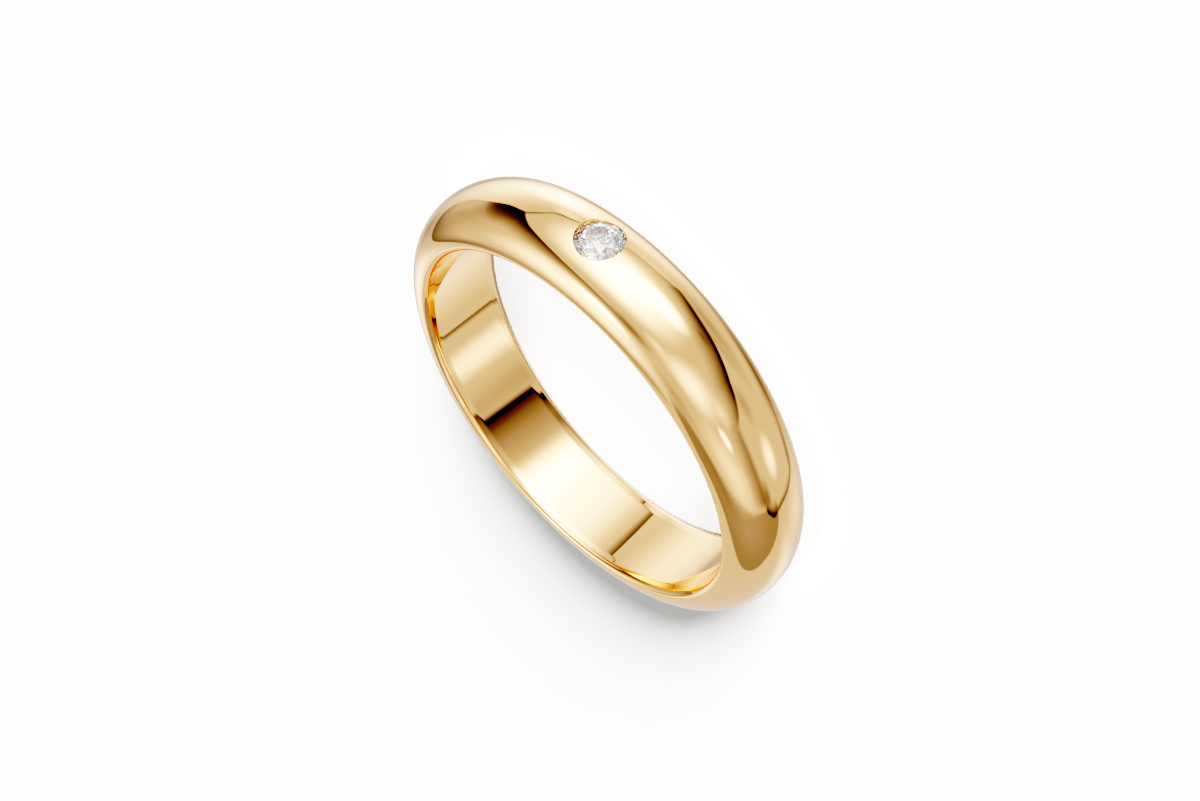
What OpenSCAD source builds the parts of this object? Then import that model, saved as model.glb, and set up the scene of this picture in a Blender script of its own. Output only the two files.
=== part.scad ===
// A D-shaped wedding band with one round brilliant set flush in its dome.
// The ring lies on its side: its axis is Z, the origin is the centre of the
// finger hole at the middle of the width, and the stone faces -Y.
// Sizes are in millimetres.

/* [Finger hole] */
// Inner diameter of the band
inner_d = 17.2; // [14:0.1:22]
// Straight stretch of the hole, as a share of the band's width
straight_share = 0.75; // [0.7:0.01:0.8]
// Lean of the flare that eases each end of the hole, in degrees
flare_lean = 4; // [3:0.2:5]

/* [Band] */
// Width of the band along the finger
band_w = 4.0; // [3.6:0.1:5]
// Thickness of the metal from the hole to the crest of the dome
band_t = 1.9; // [1.7:0.05:2.4]
// Radius of the arc over the crest, as a share of the width
crest_share = 0.5875; // [0.56:0.0025:0.65]
// Radius of the arcs that turn the dome into the sides, as a share of the width
shoulder_share = 0.425; // [0.38:0.005:0.43]
// Radius of the corner between the flare and each side
corner_r = 0.26; // [0.2:0.01:0.28]

/* [Stone] */
// Diameter of the brilliant across its girdle
stone_d = 2.0; // [1.6:0.1:2.4]
// Table width from corner to corner, as a share of the diameter
table_share = 0.54; // [0.5:0.01:0.62]
// Slope of the crown's main facets, in degrees
crown_slope = 34; // [31:0.5:36]
// Slope of the pavilion's main facets, in degrees
pavilion_slope = 40.8; // [39.8:0.2:42]
// Thickness of the girdle at its thick points, as a share of the diameter
girdle_share = 0.03; // [0.025:0.005:0.045]
// How far the star facets reach from the table to the girdle
star_share = 0.5; // [0.4:0.05:0.6]
// How far the lower half facets reach from the girdle to the culet
lower_share = 0.77; // [0.7:0.01:0.82]
// Turn of the stone about its own axis, in degrees
stone_turn = 22.5; // [0:2.5:45]

/* [Seat] */
// Gap between the stone and the metal around it
seat_gap = 0.02; // [0.015:0.005:0.03]
// Metal left over the girdle where the dome is lowest beside the stone
lip_h = 0.06; // [0.06:0.005:0.1]
// How far the burnished lip reaches in over the girdle
lip_reach = 0.015; // [0.01:0.005:0.03]
// Lean of the bright wall above the lip, in degrees from the stone's axis
wall_lean = 8; // [4:1:15]
// Diameter of the hole drilled through under the stone
drill_d = 1.0; // [0.8:0.1:1.1]

/* [Hidden] */
$fn = 96;

inner_r = inner_d / 2;
outer_r = inner_r + band_t;
half_w = band_w / 2;

// The half profile of the band goes from the hole outwards: the straight wall, the flare,
// and the corner, shoulder and crest arcs, all tangent. Points are [radius, z].
crest_r = crest_share * band_w;
shoulder_r = shoulder_share * band_w;
straight_h = straight_share * half_w;
corner_z = half_w - corner_r;
crest_c = [outer_r - crest_r, 0];
a_flare = 180 - flare_lean;
flare_h = corner_z + corner_r * sin(flare_lean);
flare_end = [inner_r + (flare_h - straight_h) * tan(flare_lean), flare_h];
corner_c = flare_end - polar(corner_r, a_flare);
shoulder_c = meet(crest_c, crest_r - shoulder_r, corner_c, shoulder_r - corner_r);

a_crest = angle_of(shoulder_c - crest_c);
a_shoulder = angle_of(corner_c - shoulder_c);

// The stone's heights are measured from the ring's axis, along the stone's own axis.
stone_r = stone_d / 2;
dome_h = crest_c.x + sqrt(crest_r ^ 2 - stone_r ^ 2);
girdle_top = dome_h - lip_h;
girdle_bottom = girdle_top - girdle_share * stone_d;

// A main facet has its middle at each eighth of a turn, and a half facet spans
// a sixteenth. The girdle is round, in girdle_steps chords to each half facet.
eighth = 45;
half_facet = eighth / 2;
girdle_steps = 4;
girdle_n = 16 * girdle_steps;

table_r = table_share * stone_r;
table_flat_r = table_r * cos(half_facet);
star_r = table_flat_r + star_share * (stone_r - table_flat_r);
star_rise = facet_rise(star_r, crown_slope);
table_rise = (stone_r - table_r) * tan(crown_slope);
lower_r = (1 - lower_share) * stone_r;
lower_drop = facet_rise(lower_r, pavilion_slope);
culet_drop = stone_r * tan(pavilion_slope);

// The seat's cone follows the ridges between the lower half facets.
seat_slope = atan(lower_drop / (stone_r - lower_r));
pocket_r = stone_r + seat_gap;
drill_r = drill_d / 2;
lip_r = stone_r - lip_reach;
cut_past = 1; // how far cutting shapes run past the metal

function angle_of(v) = atan2(v.y, v.x);
function polar(r, a) = [r * cos(a), r * sin(a)];

// The point at distance p from a and q from b, on the left going from b to a
function meet(a, p, b, q) =
    let (d = norm(a - b), along = (q ^ 2 - p ^ 2 + d ^ 2) / (2 * d), u = (a - b) / d)
    b + along * u + sqrt(q ^ 2 - along ^ 2) * [-u.y, u.x];

// Height from the girdle's edge to a main facet's side corner at radius r
function facet_rise(r, slope) = (stone_r - r * cos(half_facet)) * tan(slope);

// How far the girdle's edge dips at angle a, where the plane of a half facet
// that rises by rise to its tip at radius tip_r cuts the round girdle
function dip(a, rise, tip_r) =
    let (mid = half_facet / 2, off = a % half_facet - mid)
    rise * stone_r * (cos(off) - cos(mid)) / ((stone_r - tip_r) * cos(mid));

// The region between a circle's arc from angle from_a to to_a and its chord
module arc_cap(centre, r, from_a, to_a) {
    intersection() {
        translate(centre) circle(r);
        polygon([
            centre + polar(r, from_a),
            centre + polar(2 * r, from_a),
            centre + polar(2 * r, to_a),
            centre + polar(r, to_a)
        ]);
    }
}

// The upper half of the band's section, as its chords' polygon and an arc cap on each arc
module half_section() {
    polygon([
        [inner_r, 0],
        [outer_r, 0],
        crest_c + polar(crest_r, a_crest),
        shoulder_c + polar(shoulder_r, a_shoulder),
        flare_end,
        [inner_r, straight_h]
    ]);
    arc_cap(crest_c, crest_r, 0, a_crest);
    arc_cap(shoulder_c, shoulder_r, a_crest, a_shoulder);
    arc_cap(corner_c, corner_r, a_shoulder, a_flare);
}

module section() {
    half_section();
    mirror([0, 1]) half_section();
}

// Stands a shape whose axis is Z on the stone's axis, with its top outwards
module at_stone() rotate([90, 0, 0]) children();

// All that is cut away for the stone: the drilled hole, the seat's cone, the
// pocket round the girdle, the lip's underside and the bright wall above it
module seat_cut() {
    under_girdle = girdle_bottom - seat_gap / cos(seat_slope);
    lip_z = girdle_top + seat_gap / cos(crown_slope) + lip_reach * tan(crown_slope);
    pocket_top = lip_z - (pocket_r - lip_r) * tan(crown_slope);
    wall_top = outer_r + cut_past;
    rotate_extrude() polygon([
        [0, inner_r - cut_past],
        [drill_r, inner_r - cut_past],
        [drill_r, under_girdle - (stone_r - drill_r) * tan(seat_slope)],
        [pocket_r, under_girdle + seat_gap * tan(seat_slope)],
        [pocket_r, pocket_top],
        [lip_r, lip_z],
        [lip_r + (wall_top - lip_z) * tan(wall_lean), wall_top],
        [0, wall_top]
    ]);
}

// A round brilliant: table, 8 star, 8 main and 16 half facets above the
// girdle, and 16 half and 8 main facets that meet at the culet below it
module brilliant() {
    star_at = 8;
    top_at = star_at + 8;
    bottom_at = top_at + girdle_n;
    lower_at = bottom_at + girdle_n;
    culet_at = lower_at + 8;
    mains = [0:7];
    per_main = 2 * girdle_steps;
    points = [
        for (k = mains) on_ring(table_r, k * eighth, girdle_top + table_rise),
        for (k = mains) on_ring(star_r, (k + 0.5) * eighth, girdle_top + star_rise),
        for (j = [0:girdle_n - 1]) let (a = j * half_facet / girdle_steps)
            on_ring(stone_r, a, girdle_top - dip(a, star_rise, star_r)),
        for (j = [0:girdle_n - 1]) let (a = j * half_facet / girdle_steps)
            on_ring(stone_r, a, girdle_bottom + dip(a, lower_drop, lower_r)),
        for (k = mains) on_ring(lower_r, (k + 0.5) * eighth, girdle_bottom - lower_drop),
        [0, 0, girdle_bottom - culet_drop]
    ];
    faces = [
        [for (k = mains) 7 - k],
        for (k = mains) [k, (k + 1) % 8, star_at + k],
        for (k = mains) [k, star_at + k, top_at + k * per_main, star_at + (k + 7) % 8],
        for (h = [0:15]) [
            star_at + floor(h / 2),
            for (j = [girdle_steps:-1:0]) top_at + (h * girdle_steps + j) % girdle_n
        ],
        for (j = [0:girdle_n - 1]) let (next = (j + 1) % girdle_n)
            [top_at + j, top_at + next, bottom_at + next, bottom_at + j],
        for (h = [0:15]) [
            lower_at + floor(h / 2),
            for (j = [0:girdle_steps]) bottom_at + (h * girdle_steps + j) % girdle_n
        ],
        for (k = mains)
            [culet_at, lower_at + (k + 7) % 8, bottom_at + k * per_main, lower_at + k]
    ];
    polyhedron(points, faces);
}

function on_ring(r, a, z) = [r * cos(a), r * sin(a), z];

// Polished yellow gold, one solid, with the stone's seat cut into its crest
module band() {
    color("#E2C084") difference() {
        rotate_extrude() section();
        at_stone() seat_cut();
    }
}

// The brilliant, its table just proud of the crest of the dome
module diamond() {
    color("#E9EAEE") at_stone() rotate([0, 0, stone_turn]) brilliant();
}

band();
diamond();
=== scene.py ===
import math
import bpy
import numpy as np
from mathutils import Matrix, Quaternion, Vector


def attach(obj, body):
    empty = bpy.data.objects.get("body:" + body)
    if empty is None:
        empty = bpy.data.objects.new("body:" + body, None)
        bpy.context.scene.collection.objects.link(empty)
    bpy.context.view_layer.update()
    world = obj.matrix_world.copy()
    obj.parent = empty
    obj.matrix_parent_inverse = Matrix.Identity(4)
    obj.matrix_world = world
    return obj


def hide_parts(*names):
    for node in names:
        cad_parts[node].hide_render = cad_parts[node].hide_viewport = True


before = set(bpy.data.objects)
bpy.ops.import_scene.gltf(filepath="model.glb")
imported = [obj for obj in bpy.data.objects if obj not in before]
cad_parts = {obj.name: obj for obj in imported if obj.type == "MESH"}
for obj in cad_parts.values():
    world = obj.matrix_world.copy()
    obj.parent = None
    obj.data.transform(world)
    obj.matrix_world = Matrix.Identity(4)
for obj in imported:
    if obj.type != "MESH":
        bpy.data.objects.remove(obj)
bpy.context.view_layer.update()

# Band. A D-shaped wedding band, turned from one blank of 18 carat yellow gold and polished
# to a mirror. The stone's seat is drilled and cut into the crest, and its edge is burnished
# down over the stone. Its sizes are in millimetres.
MM = 0.001
inner_r = 8.6
band_thickness = 1.9
outer_r = inner_r + band_thickness
half_width = 2.0
straight_half = 1.44
ease_radius = 1.9
flare_lean = math.radians(4.0)
corner_radius = 0.26
shoulder_radius = 1.7
crest_radius = 2.35


def circles_meet(a, p, b, q):
    """The point at distance p from a and q from b, on the left going from b to a: from b it is
    a step along the line to a, found from the two distances, and a step square to it."""
    line = a - b
    d = np.hypot(*line)
    along = (q * q - p * p + d * d) / (2 * d)
    u = line / d
    return b + along * u + math.sqrt(q * q - along * along) * np.array([-u[1], u[0]])


def angle_of(v):
    """The angle of a two-number vector, from its first axis."""
    return math.atan2(v[1], v[0])


crest_centre = np.array([outer_r - crest_radius, 0.0])
ease_centre = np.array([inner_r + ease_radius, straight_half])
flare_normal = np.array([-math.cos(flare_lean), math.sin(flare_lean)])
flare_start = ease_centre + ease_radius * flare_normal
corner_centre_z = half_width - corner_radius
flare_rise = corner_centre_z + corner_radius * flare_normal[1] - flare_start[1]
flare_end = flare_start + flare_rise * np.array([math.tan(flare_lean), 1])
corner_centre = flare_end - corner_radius * flare_normal
shoulder_centre = circles_meet(
    crest_centre, crest_radius - shoulder_radius, corner_centre, shoulder_radius - corner_radius
)
ease_end = angle_of(flare_normal)
corner_end = angle_of(corner_centre - shoulder_centre)
shoulder_end = angle_of(shoulder_centre - crest_centre)
crest_end_z = crest_radius * math.sin(shoulder_end)


def arc(centre, radius, start, end, steps):
    """Points and outward normals along an arc, as (radius, height): the centre plus the
    radius times the unit vector whose angle runs evenly from start to end, without start."""
    angle = np.linspace(start, end, steps + 1)[1:]
    normal = np.stack([np.cos(angle), np.sin(angle)], axis=1)
    return centre + radius * normal, normal


def band_section(window_half, window_rows):
    """The closed outline of the band's section, from the middle of the hole over the upper
    side and the crest and back: straight wall, ease, flare, corner, shoulder and crest, all
    mirrored."""
    wall_steps = 4
    ease_steps = 8
    flare_steps = 3
    corner_steps = 12
    shoulder_steps = 30
    crest_steps = 14
    near = np.linspace(0, window_half, window_rows + 1)
    far = np.linspace(window_half, straight_half, wall_steps + 1)[1:]
    heights = np.concatenate([near, far])
    wall = np.stack([np.full_like(heights, inner_r), heights], axis=1)
    flare = np.linspace(flare_start, flare_end, flare_steps + 1)[1:]
    stretches = [
        (wall, np.tile([-1.0, 0.0], (len(heights), 1))),
        arc(ease_centre, ease_radius, math.pi, ease_end, ease_steps),
        (flare, np.tile(flare_normal, (flare_steps, 1))),
        arc(corner_centre, corner_radius, ease_end, corner_end, corner_steps),
        arc(shoulder_centre, shoulder_radius, corner_end, shoulder_end, shoulder_steps),
        arc(crest_centre, crest_radius, shoulder_end, 0, crest_steps),
    ]
    points = np.concatenate([stretch[0] for stretch in stretches])
    normals = np.concatenate([stretch[1] for stretch in stretches])
    mirror = np.array([1, -1])
    return (
        np.concatenate([points, points[-2:0:-1] * mirror]),
        np.concatenate([normals, normals[-2:0:-1] * mirror]),
    )


def dome_radius(z):
    """The dome's distance from the ring's axis at height z: on the crest's arc near the
    middle, and on the shoulder's arc beyond the point where the two meet."""
    z = np.abs(z)
    on_crest = crest_centre[0] + np.sqrt(crest_radius ** 2 - np.minimum(z, crest_end_z) ** 2)
    on_shoulder = shoulder_centre[0] + np.sqrt(
        shoulder_radius ** 2 - (np.maximum(z, crest_end_z) - shoulder_centre[1]) ** 2
    )
    return np.where(z < crest_end_z, on_crest, on_shoulder)


def dome_height(x, z):
    """How far the dome stands out along the stone's axis over (x, z): the leg of a right
    triangle whose other leg is x and whose long side is the dome's radius at z."""
    return np.sqrt(dome_radius(z) ** 2 - x ** 2)


def dome_normal(x, z):
    """The dome's outward normal over (x, z): the section's normal at z, turned about the
    ring's axis to the point's own azimuth."""
    radius = dome_radius(z)
    near = np.abs(z) < crest_end_z
    centre_r = np.where(near, crest_centre[0], shoulder_centre[0])
    centre_z = np.where(near, 0, shoulder_centre[1] * np.sign(z))
    arc_r = np.where(near, crest_radius, shoulder_radius)
    out = (radius - centre_r) / arc_r
    up = (z - centre_z) / arc_r
    return np.stack([out * x / radius, -out * dome_height(x, z) / radius, up], axis=-1)


# The seat's sizes follow the stone's: 2.0 mm across, with its girdle just under the dome. The
# seat's cone has the slope of the pavilion's ridges, which run in to the half facets' tips.
stone_r = 1.0
crown_slope = math.radians(34)
pavilion_slope = math.radians(40.8)
metal_over_girdle = 0.06
girdle_thickness = 0.06
girdle_top = float(dome_radius(stone_r)) - metal_over_girdle
girdle_bottom = girdle_top - girdle_thickness
seat_gap = 0.02
half_facet = math.pi / 8
lower_tip_share = 0.23
lower_tip_r = lower_tip_share * stone_r
lower_tip_drop = (stone_r - lower_tip_r * math.cos(half_facet)) * math.tan(pavilion_slope)
seat_slope = math.atan(lower_tip_drop / (stone_r - lower_tip_r))
pocket_r = stone_r + seat_gap
drill_r = 0.5
lip_reach = 0.015
lip_r = stone_r - lip_reach
lip_height = girdle_top + seat_gap / math.cos(crown_slope) + lip_reach * math.tan(crown_slope)
wall_lean = math.radians(8)
burnish_width = 0.03


def seat_rings(turn):
    """Rings of points down into the seat, as (distance from the stone's axis, height along
    it), each an array over the angle turn: the burnished edge is a curve from the dome to
    the leaning wall with its middle pull at their corner, and below the lip come the
    pocket, the cone and the drilled hole. The corner's distance follows from the dome's
    height over it, so it is worked out from its own last value until it settles."""
    settling_rounds = 6
    burnish_steps = 6
    burnish_share = 0.6
    corner_r = np.full_like(turn, lip_r)
    for _ in range(settling_rounds):
        corner_h = dome_height(corner_r * np.cos(turn), corner_r * np.sin(turn))
        corner_r = lip_r + (corner_h - lip_height) * math.tan(wall_lean)
    start_r = corner_r + burnish_width
    start_h = dome_height(start_r * np.cos(turn), start_r * np.sin(turn))
    depth = np.minimum(burnish_width, burnish_share * (corner_h - lip_height))
    end_h = corner_h - depth
    end_r = corner_r - depth * math.tan(wall_lean)
    rings = []
    for w in np.linspace(0, 1, burnish_steps + 1):
        a, b, c = (1 - w) ** 2, 2 * w * (1 - w), w ** 2
        rings.append((a * start_r + b * corner_r + c * end_r,
                      a * start_h + b * corner_h + c * end_h))
    cone_top = girdle_bottom - seat_gap / math.cos(seat_slope) + seat_gap * math.tan(seat_slope)
    pocket_top = lip_height - (pocket_r - lip_r) * math.tan(crown_slope)
    cone_end = cone_top - (pocket_r - drill_r) * math.tan(seat_slope)
    hole_end = np.sqrt(inner_r ** 2 - (drill_r * np.cos(turn)) ** 2)
    corners = [
        (end_r, end_h), (lip_r, lip_height), (pocket_r, pocket_top),
        (pocket_r, cone_top), (drill_r, cone_end), (drill_r, hole_end),
    ]
    # Each stretch between two corners has rings close to its ends, which keep it crisp there.
    ring_places = [
        (0.4, 0.8, 1.0), (0.2, 0.8, 1.0), (0.1, 0.9, 1.0),
        (0.05, 0.5, 0.95, 1.0), (0.05, 0.5, 0.95, 1.0),
    ]
    for (r0, h0), (r1, h1), places in zip(corners, corners[1:], ring_places):
        for w in places:
            rings.append((np.full_like(turn, r0 + w * (r1 - r0)),
                          np.full_like(turn, h0 + w * (h1 - h0))))
    return rings


def grid_normals(points):
    """Unit normals of a grid that closes along its second axis: the cross product of the
    central differences along the two axes."""
    along = np.gradient(points, axis=0)
    around = np.roll(points, -1, axis=1) - np.roll(points, 1, axis=1)
    normals = np.cross(around, along)
    return normals / np.linalg.norm(normals, axis=-1, keepdims=True)


def quads_between(first, second):
    """Quads between two closed rings of vertex numbers of equal length."""
    return np.stack([first, np.roll(first, -1), np.roll(second, -1), second], axis=-1)


def build_band():
    """Vertices, normals and faces of the whole band: the section turned about Z, with a
    square window left open in the dome and in the hole's wall. The dome's window is filled
    by a straight blend from its square border to the round burnished edge, laid on the
    dome in steps that grow shorter towards the edge, then come the seat's rings, and a
    like blend in even steps joins the drilled hole to the wall."""
    columns = 520
    window_rows = 20
    window_columns = 14
    window_half = 1.2
    dome_blend_steps = 18
    wall_blend_steps = 6
    shortening = 0.35
    section, section_normals = band_section(window_half, window_rows)
    rows = len(section)
    crest_row = rows // 2
    azimuth = np.arange(columns) * 2 * math.pi / columns
    ring = np.stack([np.cos(azimuth), np.sin(azimuth)], axis=1)

    def turned(values):
        """A (radius, height) array turned about Z, as a grid of points or vectors."""
        flat = values[:, None, :1] * ring[None]
        tall = np.broadcast_to(values[:, None, 1:], flat.shape[:2] + (1,))
        return np.concatenate([flat, tall], axis=2)

    points = [turned(section).reshape(-1, 3)]
    normals = [turned(section_normals).reshape(-1, 3)]
    row, column = np.meshgrid(np.arange(rows), np.arange(columns), indexing="ij")

    def number(j, i):
        """Number of the main grid's vertex in row j and column i, both counted round."""
        return (j % rows) * columns + i % columns

    main = np.stack([
        number(row, column), number(row + 1, column),
        number(row + 1, column + 1), number(row, column + 1),
    ], axis=-1)
    # The stone faces -Y, three quarters of a turn from the first column.
    stone_column = 3 * columns // 4
    across = (column - stone_column >= -window_columns) & (column - stone_column < window_columns)
    on_dome = (row >= crest_row - window_rows) & (row < crest_row + window_rows)
    on_wall = (row < window_rows) | (row >= rows - window_rows)
    faces = [main[~(across & (on_dome | on_wall))]]

    # The windows' borders run anticlockwise as seen from outside the dome.
    up = np.arange(-window_rows, window_rows)
    right = np.arange(-window_columns, window_columns)
    border_z = np.concatenate([up, np.full(len(right), window_rows), -up,
                               np.full(len(right), -window_rows)])
    border_x = np.concatenate([np.full(len(up), window_columns), -right,
                               np.full(len(up), -window_columns), right])
    dome_border = number(crest_row - border_z, stone_column + border_x)
    wall_border = number(border_z, stone_column + border_x)
    main_points = points[0]
    dome_border_xz = main_points[dome_border][:, [0, 2]]
    wall_border_xz = main_points[wall_border][:, [0, 2]]
    turn = np.arctan2(dome_border_xz[:, 1], dome_border_xz[:, 0])
    circle = np.stack([np.cos(turn), np.sin(turn)], axis=1)

    rings = seat_rings(turn)
    rim_xz = rings[0][0][:, None] * circle
    share = np.linspace(0, 1, dome_blend_steps + 1)[1:-1, None, None]
    share = share * (1 + shortening - shortening * share)
    patch_xz = (1 - share) * dome_border_xz + share * rim_xz
    patch_x, patch_z = patch_xz[..., 0], patch_xz[..., 1]
    patch = np.stack([patch_x, -dome_height(patch_x, patch_z), patch_z], axis=-1)
    tube = np.stack([
        np.stack([r * circle[:, 0], -h, r * circle[:, 1]], axis=-1) for r, h in rings
    ])
    tube_normals = grid_normals(tube)
    tube_normals[0] = dome_normal(tube[0, :, 0], tube[0, :, 2])
    hole_xz = drill_r * circle
    share = np.linspace(0, 1, wall_blend_steps + 1)[1:-1, None, None]
    wall_xz = (1 - share) * hole_xz + share * wall_border_xz
    wall_x, wall_z = wall_xz[..., 0], wall_xz[..., 1]
    wall_y = -np.sqrt(inner_r ** 2 - wall_x ** 2)
    wall = np.stack([wall_x, wall_y, wall_z], axis=-1)
    wall_normals = np.stack([-wall_x, -wall_y, 0 * wall_z], axis=-1) / inner_r

    previous = dome_border
    count = rows * columns
    for grid, grid_n in (
        (patch, dome_normal(patch_x, patch_z)), (tube, tube_normals), (wall, wall_normals),
    ):
        numbers = count + np.arange(grid.shape[0] * grid.shape[1]).reshape(grid.shape[:2])
        count += numbers.size
        points.append(grid.reshape(-1, 3))
        normals.append(grid_n.reshape(-1, 3))
        chain = np.concatenate([previous[None], numbers])
        for first, second in zip(chain[:-1], chain[1:]):
            faces.append(quads_between(first, second))
        previous = numbers[-1]
    faces.append(quads_between(previous, wall_border))

    points = np.concatenate(points)
    normals = np.concatenate(normals)
    faces = np.concatenate([f.reshape(-1, 4) for f in faces])
    used, faces = np.unique(faces, return_inverse=True)
    return points[used] * MM, normals[used], faces.reshape(-1, 4)


def mesh_piece(name, points, normals, faces):
    """A smooth mesh object at the origin with the given vertices, vertex normals and quads."""
    mesh = bpy.data.meshes.new(name)
    mesh.from_pydata(points, [], faces.tolist())
    mesh.polygons.foreach_set("use_smooth", np.ones(len(faces), bool))
    mesh.update()
    mesh.normals_split_custom_set_from_vertices(normals)
    piece = bpy.data.objects.new(name, mesh)
    bpy.context.scene.collection.objects.link(piece)
    return piece


band = mesh_piece("gold_band", *build_band())


def linear(hex_colour):
    """A linear colour with alpha from an sRGB hex value: each channel over 255, then the
    sRGB curve undone."""
    channels = [int(hex_colour[i:i + 2], 16) / 255 for i in (1, 3, 5)]
    return [c / 12.92 if c <= 0.04045 else ((c + 0.055) / 1.055) ** 2.4 for c in channels] + [1]


def add(tree, kind, inputs=None, **settings):
    """A new node of the tree with these settings. Each input is joined to a socket or set."""
    node = tree.nodes.new(kind)
    for name, value in settings.items():
        setattr(node, name, value)
    for key, value in (inputs or {}).items():
        if isinstance(value, bpy.types.NodeSocket):
            tree.links.new(value, node.inputs[key])
        else:
            node.inputs[key].default_value = value
    return node


# 18 carat yellow gold, buffed to a mirror: it takes nearly all of its look from the light
# tent, warmed by the metal's own colour. The last buffing leaves hairline drags round the
# band and a faint haze, both finer than the render can show and drawn coarser.
gold_light = "#FDD2A6"
gold_deep = "#FBCE9F"
haze_mm = 1.6
drag_across_mm = 0.12
drag_along_mm = 2.5
clear_roughness = 0.008
haze_roughness = 0.018
drag_roughness = 0.012
# Most of the haze's noise lies between these two values.
noise_low = 0.3
noise_high = 0.7

gold = bpy.data.materials.new("polished_18_carat_gold")
gold.use_nodes = True
tree = gold.node_tree
place = add(tree, "ShaderNodeTexCoord").outputs["Object"]
haze = add(tree, "ShaderNodeTexNoise", {
    "Vector": place, "Scale": 1 / (haze_mm * MM), "Detail": 3.0, "Roughness": 0.5,
})
# The drags run round the band, so their places are the angle round its axis, the distance
# from it and the height.
place_xyz = add(tree, "ShaderNodeSeparateXYZ", {"Vector": place})
round_band = add(tree, "ShaderNodeMath", {
    0: place_xyz.outputs["Y"], 1: place_xyz.outputs["X"],
}, operation="ARCTAN2")
from_axis = add(tree, "ShaderNodeVectorMath", {0: place, 1: (1.0, 1.0, 0.0)}, operation="MULTIPLY")
radius = add(tree, "ShaderNodeVectorMath", {0: from_axis.outputs["Vector"]}, operation="LENGTH")
drag_place = add(tree, "ShaderNodeCombineXYZ", {
    "X": round_band.outputs["Value"], "Y": radius.outputs["Value"],
    "Z": place_xyz.outputs["Z"],
})
drag_scaled = add(tree, "ShaderNodeVectorMath", {
    0: drag_place.outputs["Vector"],
    1: (outer_r / drag_along_mm, 1 / (drag_across_mm * MM), 1 / (drag_across_mm * MM)),
}, operation="MULTIPLY")
drags = add(tree, "ShaderNodeTexNoise", {
    "Vector": drag_scaled.outputs["Vector"], "Scale": 1.0, "Detail": 2.0, "Roughness": 0.6,
})
tint = add(tree, "ShaderNodeMix", {
    0: haze.outputs["Fac"], 6: linear(gold_light), 7: linear(gold_deep),
}, data_type="RGBA")
hazed = add(tree, "ShaderNodeMapRange", {
    "Value": haze.outputs["Fac"], "From Min": noise_low, "From Max": noise_high,
    "To Min": clear_roughness, "To Max": haze_roughness,
})
roughness = add(tree, "ShaderNodeMath", {
    0: drags.outputs["Fac"], 1: drag_roughness, 2: hazed.outputs["Result"],
}, operation="MULTIPLY_ADD")
shader = tree.nodes["Principled BSDF"]
shader.inputs["Metallic"].default_value = 1
tree.links.new(tint.outputs[2], shader.inputs["Base Color"])
tree.links.new(roughness.outputs["Value"], shader.inputs["Roughness"])
band.data.materials.append(gold)
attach(band, "root")
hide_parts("band")


# Stone. A round brilliant of about 0.03 carat, cut from colourless diamond with flat,
# polished facets. It sits in the drilled seat, held by the metal burnished over its edge.
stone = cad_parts["diamond"]

# Colourless diamond, cut and polished. Each facet's colour is painted by its direction: a painted
# shade gives each facet its own tone, and a faint painted tint stands in for a diamond's fire. A
# faint film of skin oil scatters a little light, which softens the darkest facets.
diamond_ior = 2.417
clear_share = 0.972
darkest_painted_facet_shade = 0.5
painted_fire_share = 0.22
white = (1.0, 1.0, 1.0, 1.0)

brilliant = bpy.data.materials.new("cut_colourless_diamond")
brilliant.use_nodes = True
tree = brilliant.node_tree
facing = add(tree, "ShaderNodeNewGeometry").outputs["True Normal"]
facet = add(tree, "ShaderNodeTexWhiteNoise", {"Vector": facing})
# Painted shade: each facet's direction sets how dark its colour is, standing in for the light and
# dark of its reflections.
painted_facet_shade = add(tree, "ShaderNodeMapRange", {
    "Value": facet.outputs["Value"], "To Min": darkest_painted_facet_shade, "To Max": 1.0,
})
# Painted fire: a faint random colour on each facet stands in for the diamond's dispersed light.
painted_fire_tint = add(tree, "ShaderNodeMix", {
    0: painted_fire_share, 6: white, 7: facet.outputs["Color"],
}, data_type="RGBA")
painted_facet_colour = add(tree, "ShaderNodeVectorMath", {
    0: painted_fire_tint.outputs[2], "Scale": painted_facet_shade.outputs["Result"],
}, operation="SCALE")
shader = tree.nodes["Principled BSDF"]
tree.links.new(painted_facet_colour.outputs["Vector"], shader.inputs["Base Color"])
shader.inputs["Transmission Weight"].default_value = clear_share
shader.inputs["IOR"].default_value = diamond_ior
shader.inputs["Roughness"].default_value = 0
for slot in stone.material_slots:
    slot.material = brilliant


# Floor. A sheet of matt white acrylic that the ring lies on, wide enough to fill every
# view. The polish doesn't mirror it, as the light tent below stands in for it there.
floor_half = 3.0
floor_z = -half_width * MM
floor_white = "#F7F7F5"
matt_roughness = 0.9

floor_mesh = bpy.data.meshes.new("floor")
floor_mesh.from_pydata(
    [(-floor_half, -floor_half, floor_z), (floor_half, -floor_half, floor_z),
     (floor_half, floor_half, floor_z), (-floor_half, floor_half, floor_z)],
    [], [(0, 1, 2, 3)],
)
floor = bpy.data.objects.new("floor", floor_mesh)
bpy.context.scene.collection.objects.link(floor)
acrylic = bpy.data.materials.new("matt_white_acrylic")
acrylic.use_nodes = True
shader = acrylic.node_tree.nodes["Principled BSDF"]
shader.inputs["Base Color"].default_value = linear(floor_white)
shader.inputs["Roughness"].default_value = matt_roughness
shader.inputs["Specular IOR Level"].default_value = 0
floor_mesh.materials.append(acrylic)
floor.visible_glossy = False


# Light tent. The ring lies in a tent of pale cloth panels that glow unevenly: lamps behind
# the cloth make the soft lights, and the edges where two panels meet turn dark. Directions
# are seen from the ring, in degrees: azimuth from +X, and elevation.
DEGREE = math.radians(1)


def direction(azimuth, elevation):
    """The unit vector from the ring towards an azimuth and an elevation in radians: the
    azimuth's cosine and sine, both times the elevation's cosine, and the elevation's sine."""
    flat = math.cos(elevation)
    return flat * math.cos(azimuth), flat * math.sin(azimuth), math.sin(elevation)


tent = bpy.data.worlds.new("light_tent")
bpy.context.scene.world = tent
tent.use_nodes = True
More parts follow.
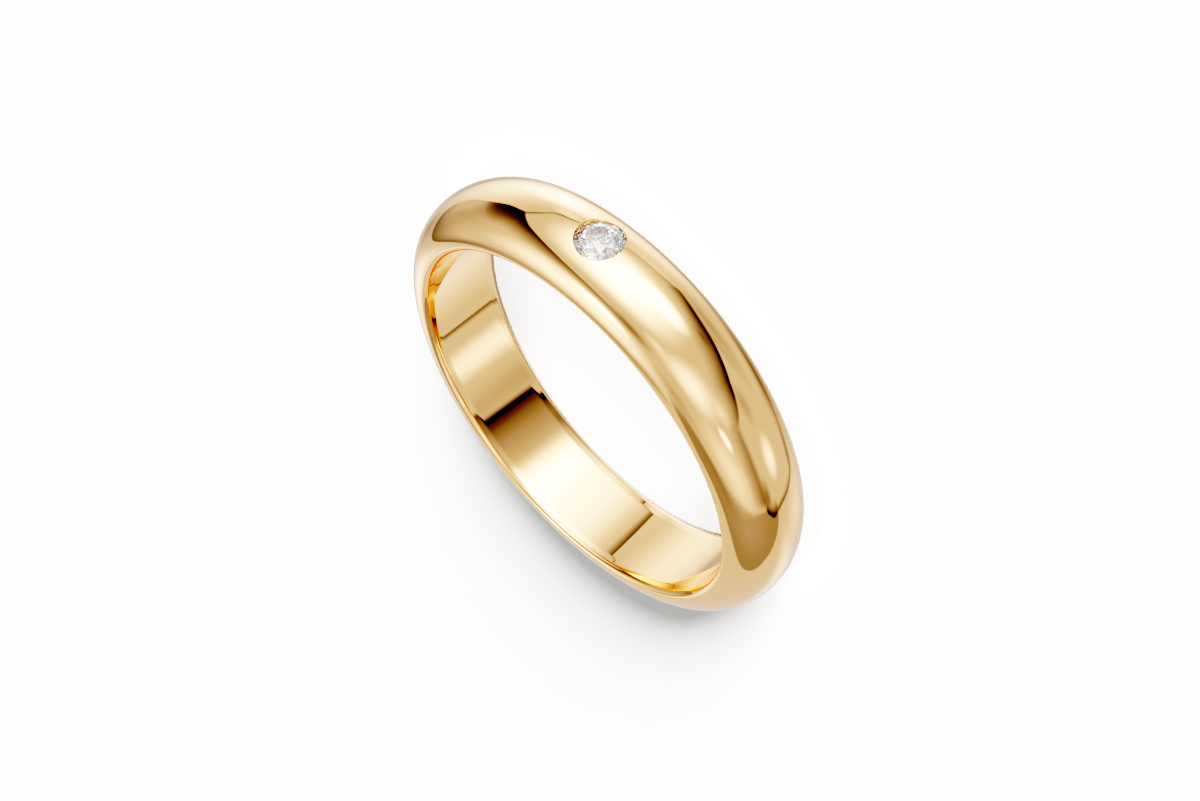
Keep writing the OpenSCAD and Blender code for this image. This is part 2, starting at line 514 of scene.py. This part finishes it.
# The tent is bright all round, so no rays are aimed at it.
tent.cycles.sampling_method = "NONE"
tree = tent.node_tree
tree.nodes.clear()
towards = add(tree, "ShaderNodeTexCoord").outputs["Generated"]
towards_xyz = add(tree, "ShaderNodeSeparateXYZ", {"Vector": towards})
azimuth = add(tree, "ShaderNodeMath", {
    0: towards_xyz.outputs["Y"], 1: towards_xyz.outputs["X"],
}, operation="ARCTAN2").outputs["Value"]
elevation = add(tree, "ShaderNodeMath", {0: towards_xyz.outputs["Z"]},
                operation="ARCSINE").outputs["Value"]

# Each soft light or shade is an oval that hides what the rows before it gave, fully at its
# middle and less and less towards its rim.
cloth_glow = 0.34
# name, azimuth, elevation, half width, half height, brightness
soft_lights = [
    ("low cloth", 12, 11, 37, 28, 0.23),
    ("lower right", 0, -35, 34, 45, 0.75),
    ("lower right lamp", 346, -47, 28, 22, 1.3),
    ("key lamp", 280, 4, 43, 49, 1.9),
    ("key lamp below", 260, -13, 21, 19, 2.3),
    ("shade beside the top", 277, 69, 15, 13, 0.155),
    ("shade at the top", 116, 80, 20, 17, 0.25),
    ("top glow", 16, 64, 30, 32, 0.97),
    ("top lamp", 346, 73, 11, 12, 1.85),
    ("pale panel", 220, 40, 20, 34, 0.84),
    ("corner of the pale panel", 207, 18, 10, 12, 0.52),
    ("light above the key lamp", 246, 50, 10, 12, 0.52),
    ("small lamp", 190, 33, 8, 9, 1.2),
    ("left panel", 164, 44, 24, 34, 0.56),
    ("left strip", 174, -25, 13, 14, 0.81),
    ("far low glow", 106, -21, 36, 11, 0.54),
    ("far strip", 50, 10, 10, 19, 0.72),
    ("end of the far strip", 60, 25, 8, 14, 0.63),
    ("far lamp", 55, -40, 11, 10, 1.4),
    ("far lower glow", 123, -38, 21, 22, 0.47),
    ("floor glow", 345, -68, 30, 25, 0.68),
    ("floor shade", 107, -71, 28, 16, 0.12),
    ("left floor shade", 135, -54, 9, 11, 0.2),
    ("right floor shade", 61, -61, 32, 9, 0.17),
    ("floor shade below the key lamp", 240, -63, 34, 16, 0.24),
    ("shade behind the ring", 60, -28, 28, 28, 0.17),
    ("light under the thin joint", 322, -29, 12, 9, 0.58),
    ("light under the key lamp", 286, -54, 30, 20, 0.45),
    ("shade left of the gap", 161, -2, 13, 8, 0.16),
    ("right strip shade", 35, -4, 12, 15, 0.2),
    ("middle of the right strip shade", 33, -28, 10, 20, 0.24),
    ("end of the right strip shade", 37, -49, 12, 10, 0.21),
    ("shade outside the low joint", 202, -26, 13, 13, 0.24),
    ("shade under the low joint", 226, -50, 17, 8, 0.26),
    ("shade over the low joint", 236, -33, 7, 6, 0.24),
    ("shade over the left panels", 202, 70, 24, 13, 0.33),
]
brightness = cloth_glow
for name, light_azimuth, light_elevation, half_w, half_h, glow in soft_lights:
    a, e = math.radians(light_azimuth), math.radians(light_elevation)
    reach = (math.radians(max(half_w, half_h)), math.radians(half_w), math.radians(half_h))
    from_middle = add(tree, "ShaderNodeMapping", {
        "Vector": towards,
        "Location": direction(a, e),
        "Rotation": (0.0, -e, a),
        "Scale": reach,
    }, vector_type="TEXTURE", label=name)
    away = add(tree, "ShaderNodeVectorMath", {0: from_middle.outputs["Vector"]},
               operation="LENGTH")
    share = add(tree, "ShaderNodeMapRange", {
        "Value": away.outputs["Value"], "To Min": 1.0, "To Max": 0.0,
    }, interpolation_type="SMOOTHSTEP")
    brightness = add(tree, "ShaderNodeMix", {
        0: share.outputs["Result"], 2: brightness, 3: float(glow),
    }).outputs[0]


# One panel hangs behind the ring on the far side, with less light on it: its lower edge is
# sharp, and its upper edge fades. Its rows run from the panel's right end to its left.

# azimuth, lower edge's elevation, upper edge's elevation, fade beyond the upper edge
dim_panel = [
    (76, 46, 60, 6),
    (95, 36, 62, 12),
    (109, 23, 58, 14),
    (120, 9.5, 50, 15),
    (132, -4, 40, 16),
    (144, -12, 27, 18),
    (152, -14, 10, 15),
    (156, -14, 0, 12),
]
# azimuth, width, and the way into the panel: 1 to larger azimuths, -1 to smaller ones
dim_ends = [(77, 1.5, 1), (155.5, 6, -1)]
dim_edge = 1.5
dim_low_glow = 0.175
dim_high_glow = 0.22
dim_rise = 45
panel_turn = add(tree, "ShaderNodeMath", {0: azimuth, 1: 2 * math.pi, 2: 0.0},
                 operation="WRAP").outputs["Value"]


def lead_curve(mapping, number, places):
    """Leads the mapping's curve of this number smoothly through the places, from the first
    to the last, and level beyond them."""
    mapping.extend = "HORIZONTAL"
    points = mapping.curves[number].points
    points[0].location, points[1].location = places[0], places[-1]
    for middle in places[1:-1]:
        points.new(*middle)
    for point in points:
        point.handle_type = "AUTO_CLAMPED"
    mapping.update()


def curves_along(place, rows, units):
    """One Float Curve for each column after the first, read at the place along the rows. It
    runs smoothly through the column's values, and stays level beyond the rows' two ends,
    where a copy of the end value a few degrees further out keeps its ends flat."""
    level_degrees = 6
    first, last = rows[0], rows[-1]
    before = (first[0] - level_degrees, *first[1:])
    after = (last[0] + level_degrees, *last[1:])
    rows = [before, *rows, after]
    sockets = []
    for column, unit in enumerate(units, start=1):
        node = add(tree, "ShaderNodeFloatCurve", {"Value": place})
        node.mapping.use_clip = False
        lead_curve(node.mapping, 0, [(math.radians(row[0]), row[column] * unit) for row in rows])
        sockets.append(node.outputs["Value"])
    return sockets


low_edge, high_edge, fade = curves_along(panel_turn, dim_panel, (DEGREE, DEGREE, DEGREE))
over_low = add(tree, "ShaderNodeMath", {0: elevation, 1: low_edge}, operation="SUBTRACT")
over_high = add(tree, "ShaderNodeMath", {0: elevation, 1: high_edge}, operation="SUBTRACT")
inside_low = add(tree, "ShaderNodeMapRange", {
    "Value": over_low.outputs["Value"],
    "From Min": -dim_edge / 2 * DEGREE, "From Max": dim_edge / 2 * DEGREE,
}, interpolation_type="SMOOTHSTEP")
inside_high = add(tree, "ShaderNodeMapRange", {
    "Value": over_high.outputs["Value"], "From Max": fade, "To Min": 1.0, "To Max": 0.0,
}, interpolation_type="SMOOTHSTEP")
inside = add(tree, "ShaderNodeMath", {
    0: inside_low.outputs["Result"], 1: inside_high.outputs["Result"],
}, operation="MULTIPLY")
for end, width, way_in in dim_ends:
    inside_end = add(tree, "ShaderNodeMapRange", {
        "Value": panel_turn,
        "From Min": (end - way_in * width / 2) * DEGREE,
        "From Max": (end + way_in * width / 2) * DEGREE,
    }, interpolation_type="SMOOTHSTEP")
    inside = add(tree, "ShaderNodeMath", {
        0: inside.outputs["Value"], 1: inside_end.outputs["Result"],
    }, operation="MULTIPLY")
up_panel = add(tree, "ShaderNodeMapRange", {
    "Value": over_low.outputs["Value"], "From Max": dim_rise * DEGREE,
    "To Min": dim_low_glow, "To Max": dim_high_glow,
}, interpolation_type="SMOOTHSTEP")
brightness = add(tree, "ShaderNodeMix", {
    0: inside.outputs["Value"], 2: brightness, 3: up_panel.outputs["Result"],
}).outputs[0]


def panel_joint(brightness, along, across, sharp, rows):
    """The brightness with the shade beside the edge that two panels share. The shade is full
    at the edge and fades to none: smoothly over the sharp side's degrees where the other
    angle is smaller, and evenly over the flank's where it is larger. It only ever darkens."""
    edge, flank, shade, strength = curves_along(along, rows, (DEGREE, DEGREE, 1, 1))
    past_edge = add(tree, "ShaderNodeMath", {0: across, 1: edge}, operation="SUBTRACT")
    near = add(tree, "ShaderNodeMapRange", {
        "Value": past_edge.outputs["Value"], "From Min": -sharp * DEGREE, "From Max": 0.0,
    }, interpolation_type="SMOOTHSTEP")
    far = add(tree, "ShaderNodeMapRange", {
        "Value": past_edge.outputs["Value"], "From Max": flank, "To Min": 1.0, "To Max": 0.0,
    })
    nearer = add(tree, "ShaderNodeMath", {
        0: near.outputs["Result"], 1: far.outputs["Result"],
    }, operation="MINIMUM")
    share = add(tree, "ShaderNodeMath", {0: nearer.outputs["Value"], 1: strength},
                operation="MULTIPLY")
    darker = add(tree, "ShaderNodeMath", {0: brightness, 1: shade}, operation="MINIMUM")
    return add(tree, "ShaderNodeMix", {
        0: share.outputs["Value"], 2: brightness, 3: darker.outputs["Value"],
    }).outputs[0]


# The joints' rows hold: angle along the joint, the edge's other angle, flank, shade, strength.
# The joint that climbs from the tent's dark corner to its top runs by elevation. On this side
# of the tent azimuths are counted from 150 to 510 degrees, so that none of them jumps at +X.
climbing_joint = [
    (-2, 334.5, 34, 0.02, 0),
    (0, 334, 34, 0.02, 1),
    (8, 332, 32, 0.026, 1),
    (15, 330, 32, 0.03, 1),
    (25, 327, 30, 0.046, 1),
    (33, 324.5, 28, 0.063, 1),
    (40, 322, 28, 0.078, 1),
    (47, 319, 27, 0.095, 1),
    (55, 312, 31, 0.125, 1),
    (62, 300, 38, 0.155, 1),
    (68, 285, 48, 0.18, 0.7),
    (74, 262, 60, 0.2, 0.3),
    (79, 250, 60, 0.2, 0),
]
count_from = 150
upper_turn = add(tree, "ShaderNodeMath", {
    0: azimuth, 1: (count_from + 360) * DEGREE, 2: count_from * DEGREE,
}, operation="WRAP").outputs["Value"]
brightness = panel_joint(brightness, elevation, upper_turn, sharp=2, rows=climbing_joint)

# From the dark corner one joint runs to the right along the horizon, then climbs.
right_joint = [
    (332, -0.5, 12, 0.02, 0),
    (334, -0.6, 14, 0.02, 1),
    (345, -3, 24, 0.026, 1),
    (352, -3, 28, 0.085, 1),
    (360, -4.4, 34, 0.29, 1),
    (372, -6.6, 32, 0.3, 1),
    (381, -5.5, 29, 0.19, 1),
    (388.5, 3, 24, 0.105, 1),
    (396, 13, 20, 0.105, 1),
    (404, 27.5, 17, 0.13, 1),
    (413, 35, 18, 0.22, 1),
    (419.5, 42.5, 21, 0.2, 1),
    (431, 53, 20, 0.19, 0.4),
    (435, 56, 20, 0.19, 0),
]
brightness = panel_joint(brightness, upper_turn, elevation, sharp=2, rows=right_joint)

# A thin one goes down from it to the left, under the key lamp.
thin_joint = [
    (263, -58.5, 11, 0.22, 0),
    (267, -58, 11, 0.22, 1),
    (271, -57, 15, 0.19, 1),
    (275, -54.6, 14, 0.24, 1),
    (280, -52.5, 12, 0.27, 1),
    (290, -49.2, 11, 0.28, 1),
    (295, -46.3, 10, 0.28, 1),
    (303, -38.5, 6, 0.25, 1),
    (311, -30, 3.5, 0.1, 1),
    (314, -27, 3.5, 0.1, 1),
    (318, -23.5, 3.5, 0.1, 1),
    (322, -21.2, 3.5, 0.08, 1),
    (324, -18, 4.5, 0.1, 1),
    (326, -11.8, 5, 0.1, 1),
    (330, -4.8, 4.5, 0.1, 1),
    (334.5, 0, 3, 0.12, 1),
    (336, 2, 3, 0.12, 0),
]
brightness = panel_joint(brightness, upper_turn, elevation, sharp=0.8, rows=thin_joint)

# The strongest joint below the horizon, with a broad shade above it.
low_joint = [
    (196, 8, 12, 0.2, 0),
    (198.5, 2, 14, 0.19, 1),
    (202, -6, 18, 0.13, 1),
    (206.5, -14, 22, 0.09, 1),
    (210, -18.7, 25, 0.06, 1),
    (213.3, -22.4, 28, 0.045, 1),
    (216.5, -27.3, 36, 0.04, 1),
    (221, -33.5, 38, 0.05, 1),
    (228, -41, 37, 0.06, 1),
    (236, -46.5, 34, 0.05, 1),
    (246, -51.5, 23, 0.045, 1),
    (259, -57, 18, 0.08, 1),
    (266, -58.5, 18, 0.12, 1),
    (271, -58, 12, 0.2, 0),
]
brightness = panel_joint(brightness, panel_turn, elevation, sharp=6, rows=low_joint)

# The cloth's hem casts a black line along that joint.
hem = [
    (200, 0, 3, 0.15, 0),
    (203, -7.5, 3, 0.14, 1),
    (206.5, -13.8, 2.5, 0.1, 1),
    (210, -18.5, 2.5, 0.03, 1),
    (213.3, -22.2, 2.2, 0.015, 1),
    (216.5, -27.1, 3, 0.02, 1),
    (221, -33.3, 5, 0.015, 1),
    (228, -40.8, 5, 0.02, 1),
    (240, -48.5, 6, 0.03, 0),
]
brightness = panel_joint(brightness, panel_turn, elevation, sharp=3, rows=hem)

# A soft joint along the horizon on the left.
left_joint = [
    (153, 1, 18, 0.14, 0),
    (160, 3.4, 18, 0.14, 1),
    (170, 6.2, 17, 0.165, 1),
    (179, 7.5, 16, 0.17, 1),
    (190, 7.5, 15, 0.18, 1),
    (196, 6, 15, 0.19, 0.9),
    (201, 3, 15, 0.19, 0),
]
brightness = panel_joint(brightness, panel_turn, elevation, sharp=9, rows=left_joint)

# A gap beside the dim panel, black where it opens and then a brown line to the floor, by
# elevation.
gap = [
    (-76, 112, 14, 0.11, 0),
    (-68, 122, 12, 0.12, 1),
    (-60, 131, 8, 0.14, 1),
    (-49, 134.5, 6, 0.16, 1),
    (-38, 143, 5, 0.15, 1),
    (-23, 149.7, 3.2, 0.12, 1),
    (-13, 150.3, 3.2, 0.1, 1),
    (-9, 149.5, 4, 0.03, 1),
    (1, 153.5, 4.5, 0.02, 1),
    (4, 155, 5, 0.1, 0),
]
brightness = panel_joint(brightness, elevation, panel_turn, sharp=2, rows=gap)

# The dim panel's top edge sags, which makes a soft fold.
fold = [
    (78, 60, 14, 0.17, 0),
    (84, 61, 14, 0.17, 1),
    (96, 62, 14, 0.165, 1),
    (108, 58, 14, 0.155, 1),
    (120, 50, 14, 0.19, 1),
    (132, 40, 15, 0.22, 1),
    (144, 27, 15, 0.25, 1),
    (150, 15, 12, 0.25, 0),
]
brightness = panel_joint(brightness, panel_turn, elevation, sharp=16, rows=fold)

# The polish and the stone see the tent. The camera sees plain white beyond the floor, and
# the floor gets an even light from all round, also by way of the polish, which fills its
# shadows. Light that has left the floor has a diffuse depth of 1 or more.
fill_light = 0.21
path = add(tree, "ShaderNodeLightPath")
polish_or_stone = add(tree, "ShaderNodeMath", {
    0: path.outputs["Is Glossy Ray"], 1: path.outputs["Is Transmission Ray"],
}, operation="MAXIMUM")
off_floor = add(tree, "ShaderNodeMath", {0: path.outputs["Diffuse Depth"], 1: 0.5},
                operation="LESS_THAN")
sees_tent = add(tree, "ShaderNodeMath", {
    0: polish_or_stone.outputs["Value"], 1: off_floor.outputs["Value"],
}, operation="MULTIPLY")

# The stone sees the tent dimmer, with the tent's dark opening in front of it and a few small
# lamps, which give its facets their contrast. None of these shows in the polish. The first
# row is the opening.
stone_share = 0.3
sparkle = add(tree, "ShaderNodeMath", {0: brightness, 1: stone_share},
              operation="MULTIPLY").outputs[0]
# azimuth, elevation, half width, brightness
sparkle_spots = [
    (243, 24, 13, 0.02),
    (262, 42, 6, 5.0),
    (300, 8, 6, 5.0),
    (228, -8, 6, 4.0),
    (285, -30, 7, 4.0),
    (318, 40, 6, 5.0),
    (205, 30, 6, 4.0),
]
for light_azimuth, light_elevation, half_w, glow in sparkle_spots:
    a, e = math.radians(light_azimuth), math.radians(light_elevation)
    off = add(tree, "ShaderNodeVectorMath", {
        0: towards, 1: direction(a, e),
    }, operation="DISTANCE")
    share = add(tree, "ShaderNodeMapRange", {
        "Value": off.outputs["Value"], "From Max": math.radians(half_w),
        "To Min": 1.0, "To Max": 0.0,
    }, interpolation_type="SMOOTHSTEP")
    sparkle = add(tree, "ShaderNodeMix", {
        0: share.outputs["Result"], 2: sparkle, 3: float(glow),
    }).outputs[0]
brightness = add(tree, "ShaderNodeMix", {
    0: path.outputs["Is Transmission Ray"], 2: brightness, 3: sparkle,
}).outputs[0]
plain_strength = add(tree, "ShaderNodeMapRange", {
    "Value": path.outputs["Is Camera Ray"], "To Min": fill_light, "To Max": 1.0,
})
plain = add(tree, "ShaderNodeBackground", {
    "Color": white, "Strength": plain_strength.outputs["Result"],
})
cloth = add(tree, "ShaderNodeBackground", {"Color": white, "Strength": brightness})
choice = add(tree, "ShaderNodeMixShader", {
    0: sees_tent.outputs["Value"], 1: plain.outputs["Background"],
    2: cloth.outputs["Background"],
})
add(tree, "ShaderNodeOutputWorld", {"Surface": choice.outputs["Shader"]})


# Lamps for the floor. One low, broad lamp stands on the camera's side, so the ring's soft
# shadow falls behind it, and a small one overhead fills the finger hole. The polish shows
# neither of them.
low_lamp_azimuth = math.radians(256)
low_lamp_elevation = math.radians(10)
low_lamp_spread = math.radians(21)
low_lamp_strength = 14
hole_lamp_height = 250 * MM
hole_lamp_reach = (inner_r + outer_r) / 2 * MM
hole_lamp_size = 4 * MM
hole_lamp_fade = 0.1
hole_lamp_power = 1.5

low_lamp_data = bpy.data.lights.new("low_lamp", "SUN")
low_lamp_data.angle = low_lamp_spread
low_lamp_data.energy = low_lamp_strength
low_lamp = bpy.data.objects.new("low_lamp", low_lamp_data)
from_ring = Vector(direction(low_lamp_azimuth, low_lamp_elevation))
low_lamp.rotation_euler = from_ring.to_track_quat("Z", "Y").to_euler()

hole_lamp_data = bpy.data.lights.new("hole_lamp", "SPOT")
hole_lamp_data.energy = hole_lamp_power
hole_lamp_data.shadow_soft_size = hole_lamp_size
hole_lamp_data.spot_size = 2 * math.atan(hole_lamp_reach / hole_lamp_height)
hole_lamp_data.spot_blend = hole_lamp_fade
hole_lamp = bpy.data.objects.new("hole_lamp", hole_lamp_data)
hole_lamp.location = (0, 0, hole_lamp_height)
for lamp in (low_lamp, hole_lamp):
    lamp.visible_glossy = False
    lamp.visible_transmission = False
    bpy.context.scene.collection.objects.link(lamp)


# Camera. The ring lies on its side on the floor. The camera looks down at the centre of the
# finger hole through a short telephoto lens, and is turned about its own line of sight so
# that the ring stands in the picture as photographed.
camera_azimuth = math.radians(243.4)
camera_elevation = math.radians(24.1)
camera_turn = math.radians(-129.2)
camera_distance = 77.44 * MM
picture_w_px = 1200
lens_px = 1855
sensor_mm = 36
clip_near = 5 * MM
clip_far = 20

lens_data = bpy.data.cameras.new("camera")
lens_data.sensor_width = sensor_mm
lens_data.lens = sensor_mm * lens_px / picture_w_px
lens_data.clip_start = clip_near
lens_data.clip_end = clip_far
camera = bpy.data.objects.new("camera", lens_data)
towards_camera = Vector(direction(camera_azimuth, camera_elevation))
camera.location = camera_distance * towards_camera
camera.rotation_mode = "QUATERNION"
camera.rotation_quaternion = (
    (-towards_camera).to_track_quat("-Z", "Y") @ Quaternion((0, 0, 1), camera_turn)
)
bpy.context.scene.collection.objects.link(camera)
bpy.context.scene.camera = camera


# Picture. The photograph's contrast is strong: its mid-tones are lifted and its darks drop
# fast to black, while white stays white. Light passes many times round the polished hole
# and inside the stone, so more bounces are traced than is usual, with none of them blurred.

# scene brightness, brightness shown
tone = [(0.0, 0.0), (0.05, 0.003), (0.077, 0.078), (0.118, 0.223), (0.18, 0.43),
        (0.277, 0.644), (0.425, 0.823), (0.65, 0.939), (1.0, 1.0)]
view = bpy.context.scene.view_settings
view.view_transform = "Standard"
view.use_curve_mapping = True
all_channels = 3
lead_curve(view.curve_mapping, all_channels, tone)
cycles = bpy.context.scene.cycles
cycles.max_bounces = 24
cycles.glossy_bounces = 16
cycles.transmission_bounces = 20
cycles.blur_glossy = 0.0
